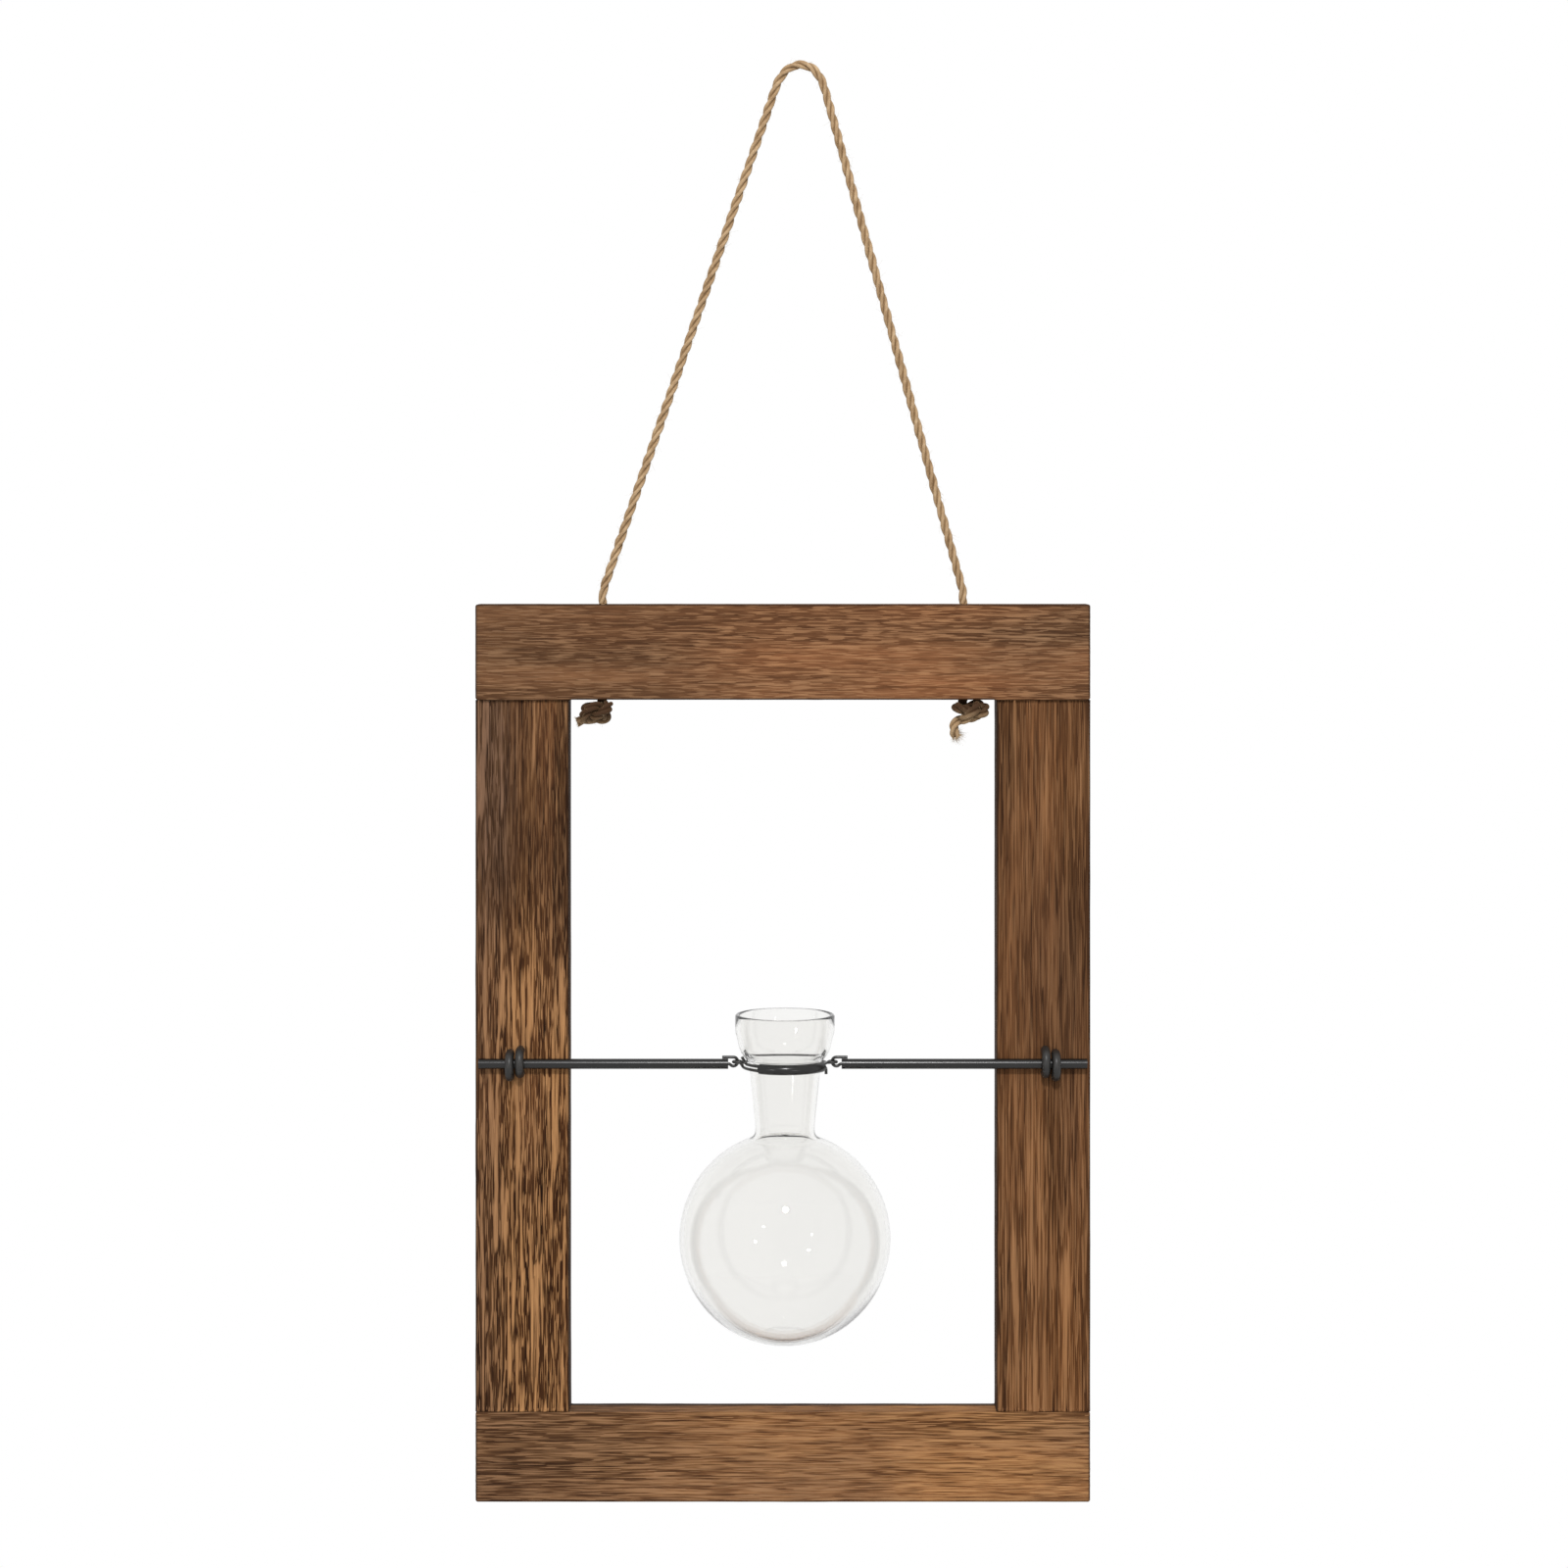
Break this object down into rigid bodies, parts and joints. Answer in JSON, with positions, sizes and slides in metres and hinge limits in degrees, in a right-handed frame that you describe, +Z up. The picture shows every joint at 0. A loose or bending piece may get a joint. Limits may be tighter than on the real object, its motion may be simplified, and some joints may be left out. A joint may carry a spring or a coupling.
{
  "type": "propagation vase",
  "caption": "Hanging propagation vase: a round glass flask hung by a linked wire neck ring inside a torched wooden frame on a knotted rope.",
  "frame": {"origin": "the hook point, at the underside of the rope's top bend, on the axis of the round hook it hangs from", "axes": "+Z up, -Y out of the front of the frame, +X to the right seen from the front"},
  "size_m": [0.2056, 0.0703, 0.4823],
  "materials": {
    "torched_wood": "torched and brushed, satin",
    "dowel_wood": "plain",
    "black_coating": "gloss",
    "black_wire": "black enamel",
    "tie_coating": "soft satin",
    "clear_glass": "clear",
    "jute": "twisted fibre"
  },
  "bodies": {
    "frame": {"top_rail": "torched_wood", "bottom_rail": "torched_wood", "left_stile": "torched_wood", "right_stile": "torched_wood", "top_left_dowels": "dowel_wood", "top_right_dowels": "dowel_wood", "bottom_left_dowels": "dowel_wood", "bottom_right_dowels": "dowel_wood", "left_arm_tube": "black_coating", "right_arm_tube": "black_coating", "left_arm_wire": "black_wire", "right_arm_wire": "black_wire", "left_tie": "tie_coating", "right_tie": "tie_coating", "hanging_rope": "jute", "left_rope_knot": "jute", "right_rope_knot": "jute"},
    "ring": {"neck_ring": "black_wire", "ring_tube": "black_coating"},
    "flask": {"flask": "clear_glass"}
  },
  "joints": [
    {"name": "ring_swing", "type": "hinge", "parent": "frame", "child": "ring", "pos_m": [-0.005, -0.00775, -0.3318], "axis": [1, 0, 0], "range_deg": [-20, 20]},
    {"name": "flask_lift", "type": "slide", "parent": "ring", "child": "flask", "axis": [0, 0, 1], "range_m": [0, 0.02]}
  ]
}
